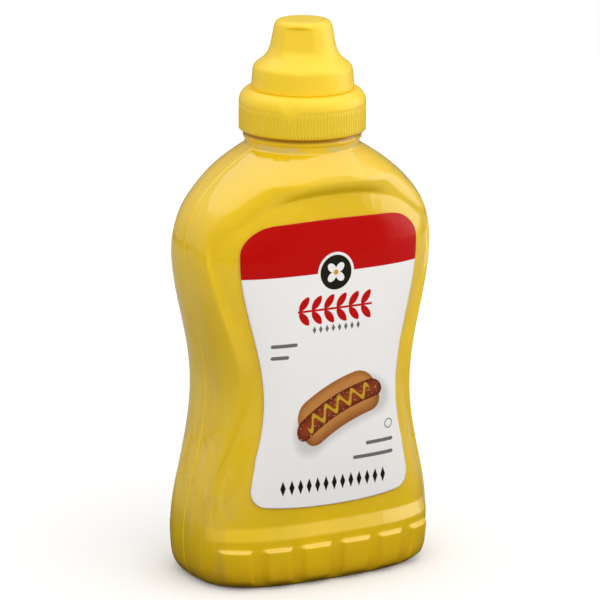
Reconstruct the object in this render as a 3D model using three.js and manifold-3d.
// A squeeze bottle of yellow mustard, in millimetres, +Z up.
// The origin is the middle of the base, where the bottle stands. The front label faces -Y.
//
// Six pieces: a clear blown bottle with a waist, the mustard that fills it, a screw ring on its neck,
// a tapered spout cap on the ring, and a label in the recessed panel of each broad face.
// Each surface is a rule over height and direction, so one set of sizes drives all of them.

import * as THREE from 'three';
import { mergeVertices } from 'three/addons/utils/BufferGeometryUtils.js';
import Module from 'manifold-3d';

const wasm = await Module();
wasm.setup();

// Bottle: half-widths of the outline seen from the front, and the heights where they are reached
const BASE_HALF_WIDTH = 35.5;
const BASE_Z = 12.2;
const WAIST_HALF_WIDTH = 28.85;
const WAIST_Z = 51;
const SHOULDER_HALF_WIDTH = 35.4;
const SHOULDER_Z = 90.5;
const NECK_RADIUS = 15.2;
const NECK_Z = 116.4;
const SHOULDER_POWER = 2.3;

// Bottle: half-depth from the base to the top of the shoulder
const BASE_HALF_DEPTH = 20.5;
const WAIST_HALF_DEPTH = 21.2;
const SHOULDER_HALF_DEPTH = 20.4;
const CREST_HALF_DEPTH = 20;
const CREST_Z = 108.8;
const CREST_POWER = 1.5;

// Bottle: how square the plan outline is at each height. 2 is a true ellipse, more is boxier.
// "face" rules how flat the broad faces are, "side" how flat the narrow sides are.
const PLAN = [
  { z: 0, face: 2.8, side: 3.1 },
  { z: WAIST_Z, face: 3.3, side: 3 },
  { z: SHOULDER_Z, face: 3.1, side: 3 },
  { z: CREST_Z, face: 2.85, side: 1.9 },
  { z: NECK_Z, face: 2, side: 2 },
];

// Bottle: the rounded edge that it stands on, and the shallow hollow under it
const FOOT_HEIGHT = 5.6;
const FOOT_INSET_WIDTH = 3.3;
const FOOT_INSET_DEPTH = 2.6;
const STAND_RING_SHARE = 0.78;
const HOLLOW_SHARE = 0.45;
const HOLLOW_HEIGHT = 1.2;
const HOLLOW_MIDDLE_HEIGHT = 1.6;

// Recessed panel on each broad face
const PANEL_LOW_Z = 16.3;
const PANEL_LOW_DEPTH = 19.7;
const LEDGE_HEIGHT = 2.4;
const PANEL_TOP_Z = 105.3;
const PANEL_TOP_DEPTH = 18.05;
const PANEL_ARCH_DROP = 5.3;
const PANEL_ARCH_X = 30;
const PANEL_ARCH_REACH = 1.2;
const SCOOP_LEAST = 0.6;
const SCOOP_HEIGHT = 5;
const PANEL_EDGE = { inner: 0.92, outer: 0.965 };
const WAIST_EDGE = { inner: 0.74, outer: 1 };
const WAIST_EDGE_Z = 61;
const WAIST_BLEND_HEIGHT = 30;

// Raised pads round the foot of each broad face, as shares of the half-width from the middle out
const PADS = [
  { from: 0.039, to: 0.3 },
  { from: 0.371, to: 0.604 },
  { from: 0.683, to: 0.913 },
];
const PAD_BEVEL = 0.025;
const PAD_HEIGHT = 0.5;
const PAD_TOP_Z = 11.6;
const PAD_TOP_BEVEL = 1;
const PAD_FOOT_Z = 0.5;
const PAD_FOOT_FADE = 1.8;

// Neck: radius at each height, from the shoulder up to the mouth, with the bead under the ring
const NECK = [
  { z: 117.9, radius: 15.3 },
  { z: 118.3, radius: 15.7 },
  { z: 119.1, radius: 15.7 },
  { z: 119.4, radius: 14.3 },
  { z: 129.3, radius: 14.3 },
];
const BORE_RADIUS = 12.9;
const BORE_FOOT_Z = 115.4;

// Walls and clearances
const WALL = 1;
const CLEARANCE = 0.3;
const FLOOR_Z = 2.9;
const FLOOR_SHARE = 0.93;
const MUSTARD_TOP_Z = 128.6;
const NEAR_TURN = 0.08;
const NEAR_Z = 2;

// Labels. Their top and bottom edges bow a little towards the middle height at the sides.
const LABEL_TOP_Z = 99.4;
const LABEL_LOW_Z = 21.4;
const LABEL_MARGIN = 8.75;
const LABEL_TOP_CORNER = 7;
const LABEL_LOW_CORNER = 4.6;
const LABEL_TOP_BOW = 0.8;
const LABEL_LOW_BOW = 0.8;
const LABEL_BOW_HEIGHT = 20;
const LABEL_THICKNESS = 0.25;

// Screw ring
const RING_RADIUS = 16.9;
const RING_LOW_Z = 120.3;
const RING_TOP_Z = 131.3;
const RING_ROUND = { width: 2.3, height: 2.1 };
const RING_BORE_RADIUS = 15.5;
const RING_ROOF_Z = 129.6;
const RING_HOLE_RADIUS = 9;

// Spout cap: its profile from the seam up, and the two flat grips on its sides
const TIER_RADIUS = 13.63;
const TIER_TOP_RADIUS = 13.3;
const TIER_Z = 136.3;
const SPOUT_PROFILE = [
  { z: 137.05, radius: 13.1 },
  { z: 137.8, radius: 12.55 },
  { z: 138.6, radius: 11.55 },
  { z: 139.4, radius: 10.55 },
  { z: 140.2, radius: 9.8 },
  { z: 141.3, radius: 9.2 },
  { z: 142.7, radius: 8.74 },
  { z: 146.9, radius: 7.92 },
  { z: 147.3, radius: 7.84 },
  { z: 148.2, radius: 7.6 },
  { z: 148.95, radius: 7.3 },
  { z: 149.4, radius: 6.6 },
];
const SPOUT_TOP_Z = 149.75;
const GRIP_LOW_Z = 139.3;
const GRIP_FULL_Z = 141.3;
const GRIP_TOP_Z = 147;
const GRIP_DISTANCE_LOW = 7.7;
const GRIP_DISTANCE_TOP = 6.95;
const CLOSURE_TURN = THREE.MathUtils.degToRad(38);

// Facets: how finely each surface is cut, and the heights where its rings of points lie
const RING_SEGMENTS = 48;
const RING_ROUND_STEPS = 4;
const SPOUT_SEGMENTS = 40;
const INNER_SEGMENTS = 32;
const SIDE_TURNS = [0, 0.14, 0.3];
const FOOT_LEVELS = [0, 0.1, 0.3, 0.6, 1];
const WALL_HEIGHTS = [22, 30, 38, 45, WAIST_Z, 58, 66, 74, 82, SHOULDER_Z, 96, 100, 103, PANEL_TOP_Z];
const SHOULDER_HEIGHTS = [107.6, 110, 112.3, 114.5, NECK_Z];
const INNER_HEIGHTS = [6, 13.9, 17, 28, 38, 48, 58, 68, 78, 88, 96, 102, 106, 110, 113.3];
const LABEL_COLUMNS = 10;
const LABEL_HEIGHTS = [
  LABEL_LOW_Z, 22.1, 23.4, 25.9, 32, 41, WAIST_Z, 61, 71, 81, 92.4, 96.2, 98.4, LABEL_TOP_Z,
];
const SAME_POINT = 1e-4;

const COLOURS = {
  clear: { color: 0xf2efe2, roughness: 0.08, metalness: 0, transparent: true, opacity: 0.35 },
  mustard: { color: 0xd8ae1e, roughness: 0.5, metalness: 0 },
  closure: { color: 0xfcd535, roughness: 0.38, metalness: 0 },
  label: { color: 0xe6e2df, roughness: 0.3, metalness: 0 },
};

const { lerp, clamp, smoothstep } = THREE.MathUtils;

// How far z is from a to b, held between 0 and 1
function share(z, a, b) {
  return clamp((z - a) / (b - a), 0, 1);
}

// A smooth swing from one value to another between two heights
function swing(z, fromZ, from, toZ, to) {
  return lerp(from, to, 0.5 - 0.5 * Math.cos(Math.PI * share(z, fromZ, toZ)));
}

// A value that changes evenly between the stations of a list
function between(stations, z, key) {
  const last = stations.length - 1;
  let i = 0;
  while (i < last - 1 && z > stations[i + 1].z) i += 1;
  return lerp(stations[i][key], stations[i + 1][key], share(z, stations[i].z, stations[i + 1].z));
}

function halfWidth(z) {
  if (z < BASE_Z) return swing(2 * BASE_Z - z, BASE_Z, BASE_HALF_WIDTH, WAIST_Z, WAIST_HALF_WIDTH);
  if (z < WAIST_Z) return swing(z, BASE_Z, BASE_HALF_WIDTH, WAIST_Z, WAIST_HALF_WIDTH);
  if (z < SHOULDER_Z) return swing(z, WAIST_Z, WAIST_HALF_WIDTH, SHOULDER_Z, SHOULDER_HALF_WIDTH);
  return lerp(SHOULDER_HALF_WIDTH, NECK_RADIUS, share(z, SHOULDER_Z, NECK_Z) ** SHOULDER_POWER);
}

function halfDepth(z) {
  if (z < WAIST_Z) return lerp(BASE_HALF_DEPTH, WAIST_HALF_DEPTH, share(z, 0, WAIST_Z));
  if (z < SHOULDER_Z) return lerp(WAIST_HALF_DEPTH, SHOULDER_HALF_DEPTH, share(z, WAIST_Z, SHOULDER_Z));
  if (z < CREST_Z) return lerp(SHOULDER_HALF_DEPTH, CREST_HALF_DEPTH, share(z, SHOULDER_Z, CREST_Z));
  return lerp(CREST_HALF_DEPTH, NECK_RADIUS, share(z, CREST_Z, NECK_Z) ** CREST_POWER);
}

// The plan outline at one height, pulled in where the foot is rounded
function plan(z) {
  const k = clamp(1 - z / FOOT_HEIGHT, 0, 1);
  const inset = 1 - Math.sqrt(1 - k * k);
  return {
    a: halfWidth(z) - inset * FOOT_INSET_WIDTH,
    b: halfDepth(z) - inset * FOOT_INSET_DEPTH,
    face: between(PLAN, z, 'face'),
    side: between(PLAN, z, 'side'),
  };
}

// How far the panel lies behind the plan outline at this place on a broad face
function recess(x, z) {
  const { a, b } = plan(z);
  const reach = Math.abs(x) / a;
  const waist = 1 - share(Math.abs(z - WAIST_EDGE_Z), 0, WAIST_BLEND_HEIGHT);
  const inner = lerp(PANEL_EDGE.inner, WAIST_EDGE.inner, waist);
  const outer = lerp(PANEL_EDGE.outer, WAIST_EDGE.outer, waist);
  const across = 1 - smoothstep(reach, inner, outer);
  const along = Math.min(Math.abs(x) / PANEL_ARCH_X, PANEL_ARCH_REACH);
  const archZ = PANEL_TOP_Z - PANEL_ARCH_DROP * along ** 4;
  const scoop = SCOOP_LEAST + SCOOP_HEIGHT * clamp(1 - along ** 2, 0, 1);
  const above = 1 - share(z, archZ, archZ + scoop);
  const below = share(z, PANEL_LOW_Z - LEDGE_HEIGHT, PANEL_LOW_Z);
  const panelDepth = lerp(PANEL_LOW_DEPTH, PANEL_TOP_DEPTH, share(z, PANEL_LOW_Z, PANEL_TOP_Z));
  return Math.max(b - panelDepth, 0) * across * above * below;
}

// How far a pad stands out at this place on a broad face
function padRise(x, z) {
  const reach = Math.abs(x) / plan(z).a;
  const foot = share(z, PAD_FOOT_Z, PAD_FOOT_Z + PAD_FOOT_FADE);
  const top = 1 - share(z, PAD_TOP_Z - PAD_TOP_BEVEL, PAD_TOP_Z);
  const across = PADS.map(({ from, to }) => {
    const nearEdge = share(reach, from, from + PAD_BEVEL);
    const farEdge = 1 - share(reach, to - PAD_BEVEL, to);
    return nearEdge * farEdge;
  });
  return PAD_HEIGHT * foot * top * Math.max(...across);
}

// A point of the bottle's outside: t is the direction, 0 at +X and a quarter turn at +Y
function skin(t, z, withPads = true) {
  const { a, b, face, side } = plan(z);
  const c = Math.cos(t);
  const s = Math.sin(t);
  const x = a * Math.sign(c) * Math.abs(c) ** (2 / face);
  const depth = b * Math.abs(s) ** (2 / side);
  const shift = (withPads ? padRise(x, z) : 0) - recess(x, z);
  return new THREE.Vector3(x, Math.sign(s) * Math.max(depth + shift, 0), z);
}

// How far in front of the middle plane a broad face lies at x and z
function faceDepth(x, z) {
  const { a, b, face, side } = plan(z);
  return b * (1 - (Math.abs(x) / a) ** face) ** (1 / side) - recess(x, z);
}

// A point inside the skin by a given distance, square to the surface as its neighbours lie
function insetSkin(t, z, distance) {
  const p = skin(t, z, false);
  const alongT = skin(t + NEAR_TURN, z, false).sub(skin(t - NEAR_TURN, z, false));
  const alongZ = skin(t, z + NEAR_Z, false).sub(skin(t, z - NEAR_Z, false));
  return p.addScaledVector(alongT.cross(alongZ).normalize(), -distance);
}

function indexed(points, faces) {
  const geometry = new THREE.BufferGeometry();
  const coordinates = points.flatMap((p) => p.toArray());
  geometry.setAttribute('position', new THREE.Float32BufferAttribute(coordinates, 3));
  geometry.setIndex(faces);
  return geometry;
}

// A closed body from a stack of rings, each with the same number of points, and a middle point at each end
function stack(bottomMiddle, rings, topMiddle) {
  const count = rings[0].length;
  const points = [bottomMiddle, ...rings.flat(), topMiddle];
  const topIndex = points.length - 1;
  const faces = [];
  for (let i = 0; i < count; i += 1) {
    const j = (i + 1) % count;
    faces.push(0, 1 + j, 1 + i);
    for (let k = 0; k < rings.length - 1; k += 1) {
      const low = 1 + k * count;
      const high = low + count;
      faces.push(low + i, low + j, high + j, low + i, high + j, high + i);
    }
    const last = 1 + (rings.length - 1) * count;
    faces.push(last + i, last + j, topIndex);
  }
  return indexed(points, faces);
}

function toSolid(geometry) {
  const bare = geometry.clone();
  bare.deleteAttribute('normal');
  bare.deleteAttribute('uv');
  const merged = mergeVertices(bare, SAME_POINT);
  return new wasm.Manifold(
    new wasm.Mesh({
      numProp: 3,
      vertProperties: new Float32Array(merged.attributes.position.array),
      triVerts: new Uint32Array(merged.index.array),
    }),
  );
}

function toGeometry(solid) {
  const { vertProperties, triVerts } = solid.getMesh();
  const geometry = new THREE.BufferGeometry();
  geometry.setAttribute('position', new THREE.BufferAttribute(new Float32Array(vertProperties), 3));
  geometry.setIndex(new THREE.BufferAttribute(new Uint32Array(triVerts), 1));
  return geometry;
}

function evenTurns(count) {
  return Array.from({ length: count }, (_, i) => (2 * Math.PI * i) / count);
}

// Directions round the bottle: one at each edge of each pad's bevels, and a few round the narrow sides
function bottleTurns() {
  const faceSquareness = PLAN[0].face;
  const shares = PADS.flatMap(({ from, to }) => [from, from + PAD_BEVEL, to - PAD_BEVEL, to]);
  const toFace = shares.map((u) => Math.acos(u ** (faceSquareness / 2))).reverse();
  const quarter = [...SIDE_TURNS, ...toFace];
  const half = [...quarter, ...quarter.slice().reverse().map((t) => Math.PI - t)];
  return [...half, ...half.slice(1, -1).map((t) => t + Math.PI)];
}

function ringOf(turns, z) {
  return turns.map((t) => skin(t, z));
}

function circle(turns, radius, z) {
  return turns.map((t) => new THREE.Vector3(radius * Math.cos(t), radius * Math.sin(t), z));
}

function scaledFoot(turns, shareOfFoot, z) {
  return ringOf(turns, 0).map((p) => new THREE.Vector3(p.x * shareOfFoot, p.y * shareOfFoot, z));
}

// What is inside the wall: rounded off over the floor, and a plain bore through the neck
function filling(distance, boreRadius, floorZ, topZ) {
  const turns = evenTurns(INNER_SEGMENTS);
  const rings = INNER_HEIGHTS.map((z) => turns.map((t) => insetSkin(t, z, distance)));
  const floor = rings[0].map((p) => new THREE.Vector3(p.x * FLOOR_SHARE, p.y * FLOOR_SHARE, floorZ));
  return stack(
    new THREE.Vector3(0, 0, floorZ),
    [floor, ...rings, circle(turns, boreRadius, BORE_FOOT_Z), circle(turns, boreRadius, topZ)],
    new THREE.Vector3(0, 0, topZ),
  );
}

function bottleGeometry() {
  const turns = bottleTurns();
  const footHeights = FOOT_LEVELS.map((level) => level * FOOT_HEIGHT);
  const bandHeights = [PAD_TOP_Z - PAD_TOP_BEVEL, PAD_TOP_Z, PANEL_LOW_Z - LEDGE_HEIGHT, PANEL_LOW_Z];
  const heights = [...footHeights, ...bandHeights, ...WALL_HEIGHTS, ...SHOULDER_HEIGHTS];
  const rings = [
    scaledFoot(turns, HOLLOW_SHARE, HOLLOW_HEIGHT),
    scaledFoot(turns, STAND_RING_SHARE, 0),
    ...heights.map((z) => ringOf(turns, z)),
    ...NECK.map(({ z, radius }) => circle(turns, radius, z)),
  ];
  const mouthZ = NECK[NECK.length - 1].z;
  const baseMiddle = new THREE.Vector3(0, 0, HOLLOW_MIDDLE_HEIGHT);
  const outside = stack(baseMiddle, rings, new THREE.Vector3(0, 0, mouthZ));
  const inside = filling(WALL, BORE_RADIUS, FLOOR_Z, mouthZ + 1);
  return toGeometry(toSolid(outside).subtract(toSolid(inside)));
}

function mustardGeometry() {
  return filling(WALL + CLEARANCE, BORE_RADIUS - CLEARANCE, FLOOR_Z + CLEARANCE, MUSTARD_TOP_Z);
}

// Half the label's width at one height: the bottle's outline less a margin, with rounded corners
function labelHalfWidth(z) {
  const full = halfWidth(z) - LABEL_MARGIN;
  const fromTop = clamp((LABEL_TOP_Z - z) / LABEL_TOP_CORNER, 0, 1);
  const fromLow = clamp((z - LABEL_LOW_Z) / LABEL_LOW_CORNER, 0, 1);
  const cutTop = LABEL_TOP_CORNER * (1 - Math.sqrt(1 - (1 - fromTop) ** 2));
  const cutLow = LABEL_LOW_CORNER * (1 - Math.sqrt(1 - (1 - fromLow) ** 2));
  return full - cutTop - cutLow;
}

// Where a point of the label lies once its top and bottom edges are bowed
function bowed(x, z) {
  const out = (x / BASE_HALF_WIDTH) ** 2;
  const nearLow = 1 - share(z, LABEL_LOW_Z, LABEL_LOW_Z + LABEL_BOW_HEIGHT);
  const nearTop = share(z, LABEL_TOP_Z - LABEL_BOW_HEIGHT, LABEL_TOP_Z);
  return z + out * (LABEL_LOW_BOW * nearLow - LABEL_TOP_BOW * nearTop);
}

// A label bent to its panel: two sheets of points a thickness apart, joined round their edge
function labelGeometry() {
  const rows = LABEL_HEIGHTS.map((straightZ) => Array.from({ length: LABEL_COLUMNS }, (_, i) => {
    const x = labelHalfWidth(straightZ) * lerp(-1, 1, i / (LABEL_COLUMNS - 1));
    const z = bowed(x, straightZ);
    return { x, z, depth: faceDepth(x, z) + CLEARANCE };
  }));
  const lifted = ({ x, z, depth }, lift) => new THREE.Vector3(x, -depth - lift, z);
  const sheet = (lift) => rows.map((row) => row.map((place) => lifted(place, lift)));
  const outer = sheet(LABEL_THICKNESS);
  const inner = sheet(0);
  const points = [...outer.flat(), ...inner.flat()];
  const back = outer.flat().length;
  const faces = [];
  const quad = (a, b, c, d) => faces.push(a, b, c, a, c, d);
  const at = (row, column) => row * LABEL_COLUMNS + column;
  const lastRow = rows.length - 1;
  const lastColumn = LABEL_COLUMNS - 1;
  for (let r = 0; r < lastRow; r += 1) {
    for (let c = 0; c < lastColumn; c += 1) {
      quad(at(r, c), at(r, c + 1), at(r + 1, c + 1), at(r + 1, c));
      quad(back + at(r, c), back + at(r + 1, c), back + at(r + 1, c + 1), back + at(r, c + 1));
    }
    quad(at(r, 0), at(r + 1, 0), back + at(r + 1, 0), back + at(r, 0));
    quad(at(r, lastColumn), back + at(r, lastColumn), back + at(r + 1, lastColumn), at(r + 1, lastColumn));
  }
  for (let c = 0; c < lastColumn; c += 1) {
    quad(at(0, c), back + at(0, c), back + at(0, c + 1), at(0, c + 1));
    quad(at(lastRow, c), at(lastRow, c + 1), back + at(lastRow, c + 1), back + at(lastRow, c));
  }
  return indexed(points, faces);
}

// The screw ring is a turned profile: skirt, rounded upper edge, flat roof and its hole
function ringGeometry() {
  const round = Array.from({ length: RING_ROUND_STEPS }, (_, i) => {
    const turn = (Math.PI / 2) * ((i + 1) / RING_ROUND_STEPS);
    const radius = RING_RADIUS - RING_ROUND.width * (1 - Math.cos(turn));
    return new THREE.Vector2(radius, RING_TOP_Z - RING_ROUND.height * (1 - Math.sin(turn)));
  });
  const profile = [
    new THREE.Vector2(RING_BORE_RADIUS, RING_LOW_Z),
    new THREE.Vector2(RING_RADIUS, RING_LOW_Z),
    new THREE.Vector2(RING_RADIUS, RING_TOP_Z - RING_ROUND.height),
    ...round,
    new THREE.Vector2(RING_HOLE_RADIUS, RING_TOP_Z),
    new THREE.Vector2(RING_HOLE_RADIUS, RING_ROOF_Z),
    new THREE.Vector2(RING_BORE_RADIUS, RING_ROOF_Z),
    new THREE.Vector2(RING_BORE_RADIUS, RING_LOW_Z),
  ];
  const geometry = new THREE.LatheGeometry(profile, RING_SEGMENTS);
  geometry.rotateX(Math.PI / 2);
  geometry.deleteAttribute('normal');
  geometry.deleteAttribute('uv');
  return mergeVertices(geometry, SAME_POINT);
}

// Distance of the flat grip from the axis: it starts in the flare and ends under a small lip
function gripDistance(z, radius) {
  if (z > GRIP_TOP_Z || z < GRIP_LOW_Z) return radius;
  const flat = lerp(GRIP_DISTANCE_LOW, GRIP_DISTANCE_TOP, share(z, GRIP_FULL_Z, GRIP_TOP_Z));
  return lerp(radius, flat, share(z, GRIP_LOW_Z, GRIP_FULL_Z));
}

function spoutRing({ z, radius }) {
  const flat = gripDistance(z, radius);
  return evenTurns(SPOUT_SEGMENTS).map((t) => {
    const r = Math.min(radius, flat / Math.max(Math.abs(Math.cos(t)), 1e-6));
    return new THREE.Vector3(r * Math.cos(t), r * Math.sin(t), z);
  });
}

function spoutGeometry() {
  const seamZ = RING_TOP_Z + CLEARANCE;
  const tier = [{ z: seamZ, radius: TIER_RADIUS }, { z: TIER_Z, radius: TIER_TOP_RADIUS }];
  const rings = [...tier, ...SPOUT_PROFILE].map(spoutRing);
  return stack(new THREE.Vector3(0, 0, seamZ), rings, new THREE.Vector3(0, 0, SPOUT_TOP_Z));
}

function piece(name, geometry, finish) {
  const mesh = new THREE.Mesh(geometry, new THREE.MeshStandardMaterial({ ...finish }));
  mesh.name = name;
  return mesh;
}

const root = new THREE.Group();
root.add(piece('bottle', bottleGeometry(), COLOURS.clear));
root.add(piece('mustard', mustardGeometry(), COLOURS.mustard));
root.add(piece('screw_ring', ringGeometry(), COLOURS.closure));

const spout = piece('spout_cap', spoutGeometry(), COLOURS.closure);
spout.rotation.z = -Math.PI / 2 - CLOSURE_TURN;
root.add(spout);

root.add(piece('label_front', labelGeometry(), COLOURS.label));
const labelBack = piece('label_back', labelGeometry(), COLOURS.label);
labelBack.rotation.z = Math.PI;
root.add(labelBack);

export default root;
